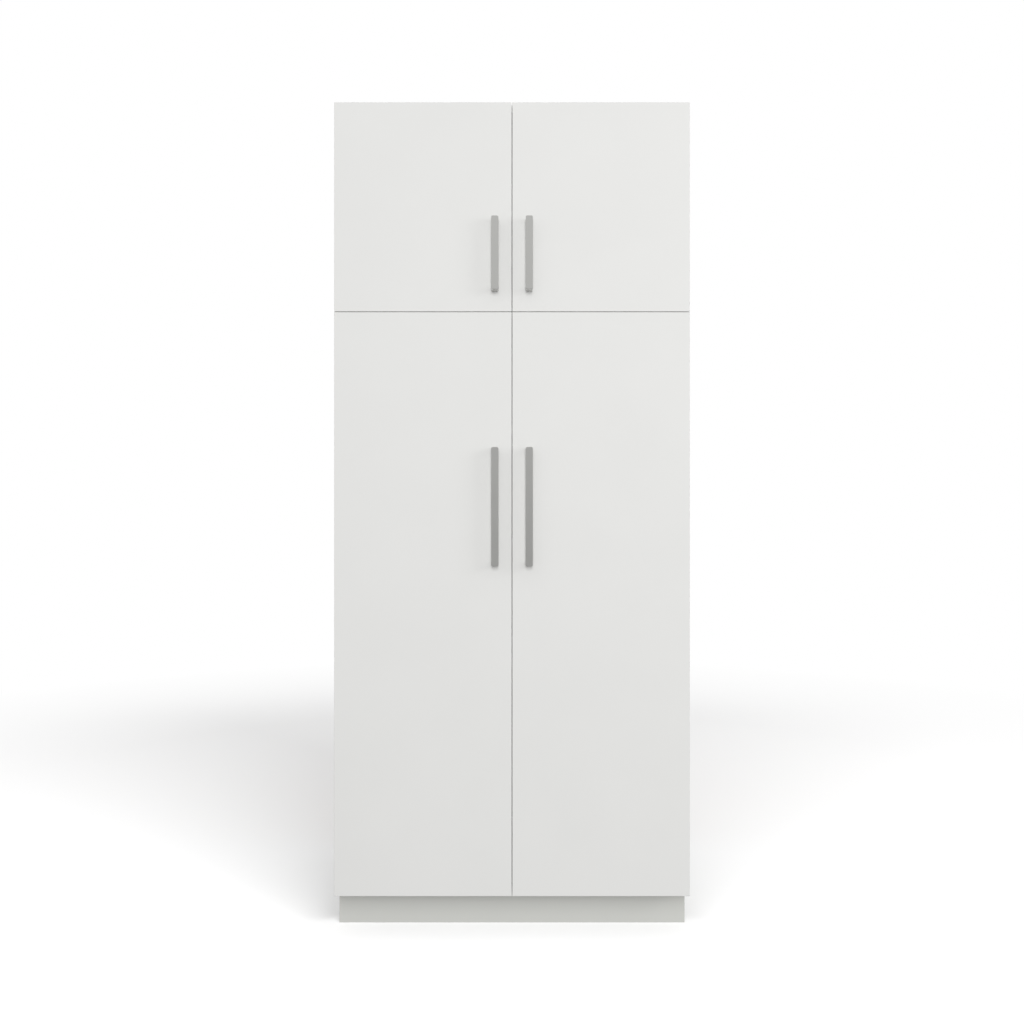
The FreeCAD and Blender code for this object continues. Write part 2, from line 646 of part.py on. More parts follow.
def rod(axis, diameter, length, at):
    """A cylinder that starts at a point and runs along an axis."""
    made = doc.addObject("Part::Cylinder", "rod")
    bind(made, "Radius", f"({diameter}) / 2")
    bind(made, "Height", length)
    return put(made, at, axis)


def taper(axis, start, end, length, at):
    """A cone with a diameter at its start and another at its end."""
    made = doc.addObject("Part::Cone", "taper")
    bind(made, "Radius1", f"({start}) / 2")
    bind(made, "Radius2", f"({end}) / 2")
    bind(made, "Height", length)
    return put(made, at, axis)


def block(at, size):
    """A box from its least corner."""
    made = doc.addObject("Part::Box", "block")
    for prop, text in zip(("Length", "Width", "Height"), size):
        bind(made, prop, text)
    return put(made, at)


def fuse(pieces):
    made = doc.addObject("Part::MultiFuse", "joined")
    made.Shapes = pieces
    return made


def cut(base, tools):
    made = doc.addObject("Part::Cut", "shaped")
    made.Base = base
    made.Tool = tools[0] if len(tools) == 1 else fuse(tools)
    return made


def group(name, pieces):
    """Separate solids that are one kind of fastener or fitting."""
    made = doc.addObject("Part::Compound", name)
    made.Links = pieces
    return made


def mirrored(thing, name):
    """The same fitting on the other side of the cabinet."""
    made = doc.addObject("Part::Mirroring", name)
    made.Source = thing
    made.Base = FreeCAD.Vector(0, 0, 0)
    made.Normal = FreeCAD.Vector(1, 0, 0)
    return made


def moved(at, axis, distance):
    """A point moved along a signed axis."""
    index = "XYZ".index(axis[-1])
    sign = "-" if axis.startswith("-") else "+"
    place = list(at)
    place[index] = f"{place[index]} {sign} ({distance})"
    return tuple(place)


def recess(axis, at, length, width, depth):
    """The two blocks that cut a cross into a head, inwards along the axis from its face."""
    index = "XYZ".index(axis[-1])
    least = f"{at[index]} - {depth}" if axis.startswith("-") else at[index]
    blocks = []
    for long_way in (0, 1):
        sizes = [length, width] if long_way == 0 else [width, length]
        corner = []
        extent = []
        for i in range(3):
            if i == index:
                corner.append(least)
                extent.append(depth)
            else:
                size = sizes.pop(0)
                corner.append(f"{at[i]} - {size} / 2")
                extent.append(size)
        blocks.append(block(corner, extent))
    return blocks


def countersunk(axis, face, shank, head, cone, length):
    """A screw that sinks along the axis from its flat face."""
    solid = fuse([
        taper(axis, head, shank, cone, face),
        rod(axis, shank, f"{length} - {cone}", moved(face, axis, cone)),
    ])
    return cut(solid, recess(axis, face, "recess_length", "recess_width", "recess_depth"))


def pan_head(axis, seat, shank, head, height, length):
    """A screw whose head stands on the seat and whose shank runs along the axis."""
    solid = fuse([
        rod(axis, head, height, moved(seat, axis, f"-({height})")),
        rod(axis, shank, length, seat),
    ])
    face = moved(seat, axis, f"-({height})")
    return cut(solid, recess(axis, face, "recess_length", "recess_width", "recess_depth"))


LEFT_FACE = f"(-{INNER})"
LEFT_OUTSIDE = "(-cabinet_width / 2)"
LEFT_EDGE = "(-cabinet_width / 2 + door_side_reveal)"
PIN_X = f"({LEFT_EDGE} + pin_offset)"
PIN_Y = f"({DOOR_BACK} - pin_setback)"
CUP_X = f"({LEFT_EDGE} + cup_offset)"


def cam_lock(panel, centre, place, face, inwards):
    """A cam with its cross recess on the board's face and a way in for the bolt's head."""
    def at(across, along, through):
        return (across, along, through) if panel else (across, through, along)
    axis = "Z" if panel else "Y"
    start = face if inwards == "+" else f"{face} - cam_depth"
    middle = f"{face} {inwards} board / 2"
    solid = rod(axis, "cam_diameter", "cam_depth", at(centre, place, start))
    way = rod("X", "bolt_bore", "cam_diameter / 2 + bolt_way_past",
              at(f"{centre} - cam_diameter / 2", place, middle))
    signed = axis if inwards == "+" else "-" + axis
    cross = recess(signed, at(centre, place, face), "cam_recess_length", "cam_recess_width",
                   "cam_recess_depth")
    return cut(solid, [way] + cross)


def cam_bolt(at):
    """Thread in the side panel, shank in the board's end, head inside the cam."""
    shank = "(cam_inset - bolt_shank_end)"
    start = moved(at, "X", "-bolt_depth")
    return fuse([
        rod("X", "bolt_diameter", f"bolt_depth + {shank}", start),
        rod("X", "bolt_neck_diameter", "bolt_neck_length", moved(at, "X", shank)),
        rod("X", "bolt_head_diameter", "bolt_head_length",
            moved(at, "X", f"{shank} + bolt_neck_length")),
    ])


def dowel(at):
    start = moved(at, "X", "-dowel_side_depth")
    return rod("X", "dowel_diameter", "dowel_side_depth + dowel_end_depth", start)


cams = []
bolts = []
dowels = []
cam_centre = f"({LEFT_FACE} + cam_inset)"
FACES = [("cabinet_height", "-"), (MIDDLE_UNDER, "+"), ("plinth_height", "+")]
for level, (face, inwards) in zip(PANEL_LEVELS, FACES):
    for place in PANEL_CAMS:
        cams.append(cam_lock(True, cam_centre, place, face, inwards))
        bolts.append(cam_bolt((LEFT_FACE, place, level)))
    for place in PANEL_DOWELS:
        dowels.append(dowel((LEFT_FACE, place, level)))
for level in RAIL_LEVELS:
    place = f"({level} + rail_joint_offset)"
    cams.append(cam_lock(False, cam_centre, place, REAR, "-"))
    bolts.append(cam_bolt((LEFT_FACE, RAIL_CENTRE, place)))
    dowels.append(dowel((LEFT_FACE, RAIL_CENTRE, f"({level} - rail_joint_offset)")))


def both_sides(name, pieces):
    """One node for the pieces at the left side and their images at the right side."""
    one = group(name + "_one_side", pieces)
    other = mirrored(one, name + "_other_side")
    keep(group(name, [one, other]), name)


both_sides("cam_locks", cams)
both_sides("cam_bolts", bolts)
both_sides("dowels", dowels)


def shelf_pin(under, y):
    """A peg in the side panel with a flat tongue under the shelf."""
    centre = f"{under} - pin_drop"
    peg = rod("X", "pin_hole", "pin_hole_depth - pin_end_gap + pin_reach",
              (f"{LEFT_FACE} - pin_hole_depth + pin_end_gap", y, centre))
    tongue = block((LEFT_FACE, f"{y} - pin_tongue_width / 2", f"{under} - pin_tongue"),
                   ("pin_reach", "pin_tongue_width", "pin_tongue"))
    collar = block((LEFT_FACE, f"{y} - pin_tongue_width / 2", f"{under} - pin_tongue_width"),
                   ("pin_collar", "pin_tongue_width", "pin_tongue_width"))
    return fuse([peg, tongue, collar])


pins = []
for number in range(1, 6):
    for place in (f"{FRONT} + pin_row_inset", f"{BACK_FRONT} - pin_row_inset"):
        pins.append(shelf_pin(f"shelf_under_{number}", place))
both_sides("shelf_pins", pins)

# Bumpers on the front edges of the carcass behind each door's free corners.
bumpers = []
for row in ROWS.values():
    for level in (f"{row['under']} + bumper_inset", f"{row['over']} - bumper_inset"):
        bumpers.append(rod("Y", "2 * bumper_radius", "bumper_height",
                           ("-bumper_offset", f"{FRONT} - bumper_height", level)))
both_sides("door_bumpers", bumpers)

back_screws = []
for across, up in BACK_SCREWS:
    back_screws.append(countersunk("-Y", (across, REAR, up), "wood_screw", "wood_screw_head",
                                   "wood_screw_cone", f"board + back_board + {BACK_SCREW_BITE}"))
keep(group("back_screws", back_screws), "back_screws")

# Corner blocks of the plinth, with one screw into each board and one into the bottom panel.
blocks = []
screws = []
ENDS = [(FRONT_INSIDE, "+", "-Y"), (REAR_INSIDE, "-", "Y")]
for wall, inwards, into_board in ENDS:
    corner_y = wall if inwards == "+" else f"{wall} - block_size"
    solid = block((f"-{SIDE_INSIDE}", corner_y, BLOCK_UNDER),
                  ("block_size", "block_size", "block_height"))
    upright = (f"-{SIDE_INSIDE} + {BLOCK_MIDDLE}", f"{wall} {inwards} {BLOCK_MIDDLE}", BLOCK_UNDER)
    to_end = (f"-{SIDE_INSIDE} + {SCREW_ASIDE}", f"{wall} {inwards} block_size", SCREW_LOW)
    to_side = (f"-{SIDE_INSIDE} + block_size", f"{wall} {inwards} {SCREW_ASIDE}", SCREW_HIGH)
    lengths = [(upright, "Z", "block_height"), (to_end, into_board, "block_size"),
               (to_side, "-X", "block_size")]
    voids = []
    for face, axis, through in lengths:
        screws.append(countersunk(axis, face, "wood_screw", "wood_screw_head", "wood_screw_cone",
                                  f"{through} + {BITE}"))
        voids.append(rod(axis, "wood_screw", through, face))
        voids.append(taper(axis, "wood_screw_head", "wood_screw", "wood_screw_cone", face))
    blocks.append(cut(solid, voids))
both_sides("plinth_blocks", blocks)
both_sides("plinth_screws", screws)


# ---- hinges: a cup in the door, an arm on a plate in the carcass, one pin through both ----

def hinge_arm(level):
    low = f"{level} - arm_height / 2"
    neck = block((PIN_X, f"{PIN_Y} - arm_front", low), ("arm_reach", "arm_sheet", "arm_height"))
    leg = block((f"{PIN_X} + arm_reach - arm_sheet", f"{PIN_Y} - arm_front", low),
                ("arm_sheet", f"{FRONT} + arm_body_start + 2 - {PIN_Y} + arm_front", "arm_height"))
    knuckle = rod("Z", "knuckle_diameter", "arm_height", (PIN_X, PIN_Y, low))
    straight = block((f"{LEFT_FACE} + plate_thickness", f"{FRONT} + arm_body_start",
                      f"{level} - arm_body_height / 2"),
                     ("arm_body_depth", "arm_body_end - arm_body_start", "arm_body_height"))
    bore = rod("Z", "knuckle_bore", "arm_height + 2", (PIN_X, PIN_Y, f"{low} - 1"))
    sinks = []
    for y in ("adjuster_front", "adjuster_rear"):
        sinks.append(rod("X", "adjuster_diameter", "adjuster_sink + 1",
                         (f"{LEFT_FACE} + plate_thickness + arm_body_depth - adjuster_sink",
                          f"{FRONT} + {y}", level)))
    return cut(fuse([neck, leg, knuckle, straight]), [bore] + sinks)


def hinge_cup(level):
    disc = rod("-Y", "cup_diameter", "cup_depth", (CUP_X, DOOR_BACK, level))
    rim = rod("Y", "cup_diameter + 2", "flange_thickness", (CUP_X, DOOR_BACK, level))
    flange = block((f"{CUP_X} - flange_width / 2", DOOR_BACK, f"{level} - flange_length / 2"),
                   ("flange_width", "flange_thickness", "flange_length"))
    floor = f"{DOOR_BACK} - cup_depth + cup_floor"
    tall = "cup_depth - cup_floor + flange_thickness + 1"
    hollow = rod("Y", "2 * cup_hollow_radius", tall,
                 (f"{LEFT_EDGE} + cup_hollow_offset", floor, level))
    slot = block((f"{LEFT_EDGE} + cup_slot_start", floor, f"{level} - cup_slot_height / 2"),
                 ("cup_hollow_offset - cup_slot_start", tall, "cup_slot_height"))
    voids = [hollow, slot,
             rod("Z", "pin_diameter", "pin_length", (PIN_X, PIN_Y, f"{level} - pin_length / 2"))]
    for step in ("-", "+"):
        spot = (CUP_X, DOOR_BACK, f"{level} {step} flange_screw_offset")
        voids.append(rod("Y", "cup_screw", "flange_thickness + 1", spot))
    return cut(fuse([disc, rim, flange]), voids)


def cup_screws(level):
    made = []
    for step in ("-", "+"):
        seat = (CUP_X, f"{DOOR_BACK} + flange_thickness", f"{level} {step} flange_screw_offset")
        made.append(pan_head("-Y", seat, "cup_screw", "cup_screw_head", "cup_screw_head_height",
                             "flange_thickness + cup_screw_length"))
    return made


def mounting_plate(level):
    """A plate with two wings; the screws in the wings are countersunk."""
    base = block((LEFT_FACE, f"{FRONT} + plate_start", f"{level} - plate_height / 2"),
                 ("plate_thickness", "plate_end - plate_start", "plate_height"))
    wings = block((LEFT_FACE, f"{FRONT} + plate_screw_line - wing_width / 2",
                   f"{level} - wing_length / 2"),
                  ("plate_thickness", "wing_width", "wing_length"))
    voids = []
    for spot in plate_screw_spots(level):
        voids.append(rod("-X", "plate_screw", "plate_thickness", spot))
        voids.append(taper("-X", "plate_screw_head", "plate_screw", "plate_screw_cone", spot))
    return cut(fuse([base, wings]), voids)


def plate_screw_spots(level):
    x = f"{LEFT_FACE} + plate_thickness"
    y = f"{FRONT} + plate_screw_line"
    return [(x, y, f"{level} - plate_screw_offset"), (x, y, f"{level} + plate_screw_offset")]


def adjusters(level):
    made = []
    for y in ("adjuster_front", "adjuster_rear"):
        face = (f"{LEFT_FACE} + plate_thickness + arm_body_depth + adjuster_stand",
                f"{FRONT} + {y}", level)
        head = rod("-X", "adjuster_diameter", "adjuster_sink + adjuster_stand", face)
        made.append(cut(head, recess("-X", face, "recess_length", "recess_width", "recess_depth")))
    return made


plates = []
plate_screws = []
adjusting = []
for level in LOWER["hinges"] + UPPER["hinges"]:
    plates.append(mounting_plate(level))
    adjusting += adjusters(level)
    for spot in plate_screw_spots(level):
        plate_screws.append(countersunk("-X", spot, "plate_screw", "plate_screw_head",
                                        "plate_screw_cone", "plate_thickness + plate_screw_length"))
both_sides("hinge_plates", plates)
both_sides("hinge_plate_screws", plate_screws)
both_sides("hinge_adjust_screws", adjusting)

for row_name, row in ROWS.items():
    left = {
        "hinge_arms": [hinge_arm(level) for level in row["hinges"]],
        "hinge_cups": [hinge_cup(level) for level in row["hinges"]],
        "hinge_cup_screws": [s for level in row["hinges"] for s in cup_screws(level)],
        "hinge_pins": [rod("Z", "pin_diameter", "pin_length",
                           (PIN_X, PIN_Y, f"{level} - pin_length / 2")) for level in row["hinges"]],
        "handle_screws": [pan_head("-Y", (across, DOOR_BACK, up), "handle_screw", "screw_head",
                                   "screw_head_height", "door_thickness + handle_screw_reach")
                          for across, up in handle_spots(row, "-1")],
    }
    for kind, pieces in left.items():
        one = keep(group(f"{kind}_{row_name}_left", pieces), f"{kind}_{row_name}_left")
        keep(mirrored(one, f"{kind}_{row_name}_right"), f"{kind}_{row_name}_right")
    for side, hand in SIDES.items():
        door(f"door_{row_name}_{side}", row, hand)
        handle(f"handle_{row_name}_{side}", row, hand)

doc.recompute()

# ---- checks, then one file for each piece ----

for thing in doc.Objects:
    if "Invalid" in thing.State or "Error" in thing.State:
        raise RuntimeError(f"{thing.Name} failed: {thing.State}")
    if thing.TypeId == "PartDesign::Pocket":
        if thing.Shape.Volume >= thing.BaseFeature.Shape.Volume - 1:
            raise RuntimeError(f"{thing.Name} cuts nothing")
for node in NODES:
    if node.Shape.isNull() or not node.Shape.isValid():
        raise RuntimeError(f"{node.Label} has no valid shape")

os.makedirs("parts", exist_ok=True)
for node in NODES:
    node.Shape.exportStep(f"parts/{node.Label}.step")
    box = node.Shape.BoundBox
    print(f"{node.Label:28s} {len(node.Shape.Solids):3d} solids  {node.Shape.Volume / 1000:10.2f} cm3"
          f"  x {box.XMin:.1f}..{box.XMax:.1f}  y {box.YMin:.1f}..{box.YMax:.1f}"
          f"  z {box.ZMin:.1f}..{box.ZMax:.1f}")
print(len(NODES), "pieces")
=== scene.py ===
import json
import math

import bpy
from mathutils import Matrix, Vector


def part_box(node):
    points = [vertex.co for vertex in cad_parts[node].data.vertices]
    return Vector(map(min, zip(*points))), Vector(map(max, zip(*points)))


# Looks, light and camera for the pantry cabinet.  Metres; +X right, +Y back, +Z up.

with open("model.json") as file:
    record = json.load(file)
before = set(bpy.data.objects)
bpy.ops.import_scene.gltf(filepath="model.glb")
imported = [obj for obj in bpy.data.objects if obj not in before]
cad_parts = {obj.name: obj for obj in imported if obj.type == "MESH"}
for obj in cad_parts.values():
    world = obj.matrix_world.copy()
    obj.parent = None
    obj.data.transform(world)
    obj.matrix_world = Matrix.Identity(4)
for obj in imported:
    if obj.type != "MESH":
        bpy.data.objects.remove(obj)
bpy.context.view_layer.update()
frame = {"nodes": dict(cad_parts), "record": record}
nodes = frame["nodes"]
scene = bpy.context.scene


# ---- values ----

WHITE = (0.80, 0.80, 0.785)
INSIDE_WHITE = (0.79, 0.79, 0.778)
# The plinth's grey is darker than the doors' white: it paints in the shade the plinth sits in under the
# doors' overhang.
PLINTH_WHITE_WITH_PAINTED_SHADE = (0.583, 0.588, 0.560)
PURE_WHITE = (1.0, 1.0, 1.0, 1.0)
CHIPBOARD_ROUGHNESS = 0.85

WELD_WITHIN = 0.00002
EASE_WIDTH = 0.0004
EASE_ANGLE = 50

FLOOR_HALF = 60.0
FLOOR_TONE = (0.80, 0.80, 0.80)
FLOOR_FADE = (2.4, 4.2)  # between these distances from the origin it turns plain white
FLOOR_LIFT = 0.075       # its own glow, as the camera sees it
FLOOR_GLOW = 0.37        # what it gives back to diffuse rays
FLOOR_MIRRORED = 0.46    # and to glossy rays

AMBIENT_LOW = 0.44       # the surroundings at the horizon and under it
AMBIENT_HIGH = 0.66      # and where they are brightest
AMBIENT_RISE = 0.5       # how steeply upward a direction is, of 1, where they get that bright
AMBIENT_MIRRORED = 1.60  # how much brighter they are to glossy rays

LIGHTS_AIM = (0.0, 0.0, 1.0)
# Name, azimuth right of the front, elevation, distance, width, height, watts, and what it lights.
LIGHTS = [
    ("key", 27, 38.5, 18.0, 10.6, 3.2, 2300, "floor"),
    ("fill", -21, 39.8, 18.0, 8.0, 3.2, 1060, "floor"),
    ("front", 1, 11.5, 7.5, 1.6, 3.4, 238, "cabinet"),
    ("above_plinth", 1, 32, 7.5, 3.0, 2.6, 108, "plinth"),
    ("side", 60, 15, 4.0, 1.5, 1.5, 24, "cabinet"),
    ("rear_left", -145, 30, 8.0, 4.0, 2.0, 200, "cabinet"),
    ("rear_right", 145, 30, 8.0, 4.0, 2.0, 160, "cabinet"),
]

LENS = 33.36
SENSOR_WIDTH = 36.0
EYE_DISTANCE = 2.392     # in front of the doors' faces
EYE_HEIGHT = 1.0657


# ---- shader building ----

class Shader:
    """A material and short calls that add nodes to it."""

    def __init__(self, name):
        self.mat = bpy.data.materials.new(name)
        self.mat.use_nodes = True
        self.tree = self.mat.node_tree
        self.bsdf = self.tree.nodes["Principled BSDF"]
        self.coords = self.tree.nodes.new("ShaderNodeTexCoord").outputs["Object"]

    def node(self, kind, **settings):
        made = self.tree.nodes.new(kind)
        for key, value in settings.items():
            setattr(made, key, value)
        return made

    def link(self, a, b):
        self.tree.links.new(a, b)

    def feed(self, name, source):
        """Link a node's output to a socket of the surface shader."""
        self.link(source, self.bsdf.inputs[name])

    def value(self, name, number):
        self.bsdf.inputs[name].default_value = number

    def stretched(self, scale):
        made = self.node("ShaderNodeMapping")
        made.inputs["Scale"].default_value = scale
        self.link(self.coords, made.inputs["Vector"])
        return made.outputs["Vector"]

    def noise(self, scale, detail=3.0, rough=0.5, vector=None):
        made = self.node("ShaderNodeTexNoise")
        made.inputs["Scale"].default_value = scale
        made.inputs["Detail"].default_value = detail
        made.inputs["Roughness"].default_value = rough
        self.link(vector or self.coords, made.inputs["Vector"])
        return made.outputs["Fac"]

    def ramp(self, source, stops):
        made = self.node("ShaderNodeValToRGB")
        ramp = made.color_ramp
        while len(ramp.elements) < len(stops):
            ramp.elements.new(0.5)
        for element, (place, rgb) in zip(ramp.elements, stops):
            element.position = place
            element.color = (*rgb, 1.0)
        self.link(source, made.inputs["Fac"])
        return made.outputs["Color"]

    def spread(self, source, low, high, start=0.3, end=0.7):
        """Map start..end, a noise's middle range unless given, to low..high."""
        made = self.node("ShaderNodeMapRange")
        for key, number in (("From Min", start), ("From Max", end), ("To Min", low), ("To Max", high)):
            made.inputs[key].default_value = number
        self.link(source, made.inputs["Value"])
        return made.outputs["Result"]

    def math(self, operation, a, b):
        made = self.node("ShaderNodeMath", operation=operation)
        for socket, item in zip(made.inputs, (a, b)):
            if isinstance(item, (int, float)):
                socket.default_value = item
            else:
                self.link(item, socket)
        return made.outputs["Value"]

    def mix(self, factor, a, b):
        made = self.node("ShaderNodeMix", data_type="RGBA")
        self.link(factor, made.inputs["Factor"])
        for socket, item in zip([s for s in made.inputs if s.type == "RGBA"], (a, b)):
            self.link(item, socket)
        return next(s for s in made.outputs if s.type == "RGBA")

    def bump(self, height, strength, distance, under=None):
        made = self.node("ShaderNodeBump")
        made.inputs["Strength"].default_value = strength
        made.inputs["Distance"].default_value = distance
        self.link(height, made.inputs["Height"])
        if under is not None:
            self.link(under, made.inputs["Normal"])
        return made.outputs["Normal"]

    def facing(self, axis, low=0.5, high=0.7):
        """1 where the surface faces along a signed axis, such as +Y."""
        split = self.node("ShaderNodeSeparateXYZ")
        normal = self.node("ShaderNodeNewGeometry").outputs["True Normal"]
        self.link(normal, split.inputs["Vector"])
        part = split.outputs["XYZ".index(axis[1])]
        if axis[0] == "-":
            part = self.math("MULTIPLY", part, -1.0)
        return self.spread(part, 0.0, 1.0, low, high)

    def cells(self, scale, randomness, **settings):
        made = self.node("ShaderNodeTexVoronoi", **settings)
        made.inputs["Scale"].default_value = scale
        made.inputs["Randomness"].default_value = randomness
        self.link(self.coords, made.inputs["Vector"])
        return made.outputs

    def shader_mix(self, factor, a, b):
        made = self.node("ShaderNodeMixShader")
        self.link(factor, made.inputs["Fac"])
        self.link(a, made.inputs[1])
        self.link(b, made.inputs[2])
        return made.outputs["Shader"]


def darker(tone, share):
    return tuple(c * share for c in tone)


# ---- materials ----

def melamine(name, tone, raw_faces=(), roughness=0.36):
    """White foil on chipboard: faint mottling and orange peel, bare chips on the raw edges."""
    s = Shader(name)
    mottle = s.noise(6.0, 4.0)
    colour = s.ramp(mottle, [(0.3, darker(tone, 0.985)), (0.7, tone)])
    peel = s.noise(420.0, 2.0)
    waves = s.noise(9.0, 1.0)
    rough = s.spread(s.noise(35.0, 5.0), roughness - 0.03, roughness + 0.05)
    height = peel
    under = s.bump(waves, 0.25, 0.0004)
    if raw_faces:
        mask = s.facing(raw_faces[0])
        for face in raw_faces[1:]:
            mask = s.math("MAXIMUM", mask, s.facing(face))
        chips, depth = chipboard(s)
        colour = s.mix(mask, colour, chips)
        rough = s.math("MAXIMUM", rough, s.math("MULTIPLY", mask, CHIPBOARD_ROUGHNESS))
        height = s.math("ADD", peel, s.math("MULTIPLY", s.math("MULTIPLY", mask, depth), 8.0))
    s.feed("Base Color", colour)
    s.feed("Roughness", rough)
    s.feed("Normal", s.bump(height, 0.06, 0.0004, under))
    s.value("Specular IOR Level", 0.45)
    return s.mat


def chipboard(s):
    """The bare core of a board, in pale and dark chips of about 2 mm: its colour and its relief."""
    chips = s.cells(480.0, 1.0)
    tint = s.node("ShaderNodeSeparateColor")
    s.link(chips["Color"], tint.inputs["Color"])
    stops = [(0.0, (0.24, 0.14, 0.07)), (0.35, (0.45, 0.30, 0.16)), (0.75, (0.60, 0.44, 0.26)),
             (1.0, (0.72, 0.56, 0.36))]
    return s.ramp(tint.outputs["Red"], stops), chips["Distance"]


def hardboard(name, tone):
    """White lacquer inside, brown pressed fibre with its screen pattern behind."""
    s = Shader(name)
    rear = s.facing("+Y")
    white = s.ramp(s.noise(8.0, 4.0), [(0.3, darker(tone, 0.98)), (0.7, tone)])
    fibres = s.noise(260.0, 6.0, 0.75)
    strands = s.noise(900.0, 3.0, 0.6, s.stretched((1.0, 1.0, 0.25)))
    blotch = s.noise(14.0, 5.0, 0.6)
    mixed = s.math("ADD", s.math("MULTIPLY", fibres, 0.45), s.math("MULTIPLY", strands, 0.35))
    mixed = s.math("ADD", mixed, s.math("MULTIPLY", blotch, 0.20))
    brown = s.ramp(mixed, [(0.32, (0.16, 0.085, 0.042)), (0.50, (0.27, 0.155, 0.082)),
                           (0.68, (0.40, 0.25, 0.14))])
    s.feed("Base Color", s.mix(rear, white, brown))
    s.feed("Roughness", s.math("MAXIMUM", s.spread(fibres, 0.40, 0.50), s.math("MULTIPLY", rear, 0.8)))
    waffle = s.cells(500.0, 0.1, distance="CHEBYCHEV")
    height = s.math("ADD", s.math("MULTIPLY", waffle["Distance"], rear), fibres)
    s.feed("Normal", s.bump(height, 0.15, 0.0005))
    return s.mat


def metal(name, colour, roughness, grain=None, grain_bump=0.08, smudge=0.06):
    """A bare or plated metal, with a brushed grain where one is given."""
    s = Shader(name)
    s.value("Metallic", 1.0)
    smear = s.noise(28.0, 5.0, 0.6)
    if grain:
        lines = s.noise(1.0, 4.0, 0.6, s.stretched(grain))
        tint = s.math("ADD", s.math("MULTIPLY", lines, 0.6), s.math("MULTIPLY", smear, 0.4))
        s.feed("Normal", s.bump(lines, grain_bump, 0.0003))
        rough = s.math("ADD", s.spread(lines, roughness - 0.04, roughness + 0.04),
                       s.spread(smear, -smudge / 2, smudge))
    else:
        fine = s.noise(900.0, 3.0)
        tint = smear
        s.feed("Normal", s.bump(fine, grain_bump, 0.0002))
        rough = s.spread(smear, roughness - smudge / 2, roughness + smudge)
    s.feed("Base Color", s.ramp(tint, [(0.35, darker(colour, 0.93)), (0.65, colour)]))
    s.feed("Roughness", rough)
    return s.mat


def timber(name, grain):
    """Planed beech: long fibres and short dark flecks along the grain."""
    s = Shader(name)
    along = s.stretched(grain)
    bands = s.noise(1.0, 5.0, 0.6, along)
    flecks = s.noise(3.0, 2.0, 0.5, along)
    mixed = s.math("ADD", s.math("MULTIPLY", bands, 0.7), s.math("MULTIPLY", flecks, 0.3))
    stops = [(0.35, (0.42, 0.25, 0.13)), (0.5, (0.58, 0.39, 0.22)), (0.65, (0.68, 0.49, 0.30))]
    s.feed("Base Color", s.ramp(mixed, stops))
    s.feed("Roughness", s.spread(flecks, 0.5, 0.65))
    s.feed("Normal", s.bump(mixed, 0.2, 0.0004))
    return s.mat


def soft_dot(name):
    """A clear soft bumper, slightly milky."""
    s = Shader(name)
    cloud = s.noise(200.0, 3.0)
    s.feed("Base Color", s.ramp(cloud, [(0.3, (0.70, 0.71, 0.70)), (0.7, (0.82, 0.82, 0.80))]))
    s.feed("Roughness", s.spread(cloud, 0.22, 0.34))
    s.value("Transmission Weight", 0.35)
    s.value("IOR", 1.49)
    return s.mat


MATERIALS = {
    "door_board": melamine("door_melamine", WHITE),
    "side": melamine("side_melamine", INSIDE_WHITE, ["+Y", "-Z"]),
    "panel": melamine("panel_melamine", INSIDE_WHITE, ["+Y", "+X", "-X"]),
    "rail": melamine("rail_melamine", INSIDE_WHITE, ["+Z", "-Z"]),
    "shelf_board": melamine("shelf_melamine", INSIDE_WHITE, ["+Y", "+X", "-X"]),
    "back_board": hardboard("back_hardboard", INSIDE_WHITE),
    # The plinth gets the darker grey with painted shade from under the doors.
    "plinth_board": melamine("plinth_melamine", PLINTH_WHITE_WITH_PAINTED_SHADE, ["-Z"], 0.42),
    "plinth_blocks": timber("block_beech", (60.0, 60.0, 8.0)),
    "dowels": timber("dowel_beech", (8.0, 400.0, 400.0)),
    "handle_metal": metal("handle_satin", (0.56, 0.56, 0.543), 0.36, (2600.0, 2600.0, 18.0)),
    "nickel_steel": metal("nickel_plate", (0.72, 0.70, 0.665), 0.28),
    "zinc": metal("zinc_casting", (0.52, 0.53, 0.54), 0.42, None, 0.2),
    "screw_steel": metal("screw_zinc_plate", (0.60, 0.60, 0.58), 0.30, None, 0.15),
    "bumper_rubber": soft_dot("bumper_clear"),
}


def material_for(node, slot):
    if node.startswith("side_panel"):
        return MATERIALS["side"]
    if node in ("top_panel", "bottom_panel", "middle_fixed_shelf"):
        return MATERIALS["panel"]
    if node.startswith("rear_rail"):
        return MATERIALS["rail"]
    return MATERIALS.get(node) or MATERIALS[slot]


for entry in frame["record"]["subparts"]:
    slots = nodes[entry["node"]].data.materials
    slots.clear()
    slots.append(material_for(entry["node"], entry["material_slot"]))


# ---- small rounding on the boards' edges ----

def ease(thing):
    weld = thing.modifiers.new("weld", "WELD")
    weld.merge_threshold = WELD_WITHIN
    soft = thing.modifiers.new("ease", "BEVEL")
    soft.width = EASE_WIDTH
    soft.segments = 2
    soft.limit_method = "ANGLE"
    soft.angle_limit = math.radians(EASE_ANGLE)
    soft.harden_normals = True
    soft.use_clamp_overlap = True


BOARDS = ("side_panel", "top_panel", "bottom_panel", "middle_fixed", "rear_rail", "shelf_lower",
          "shelf_upper", "plinth_front", "plinth_rear", "plinth_side", "plinth_brace")
for name, thing in nodes.items():
    if name.startswith(BOARDS):
        ease(thing)


# ---- floor and light ----

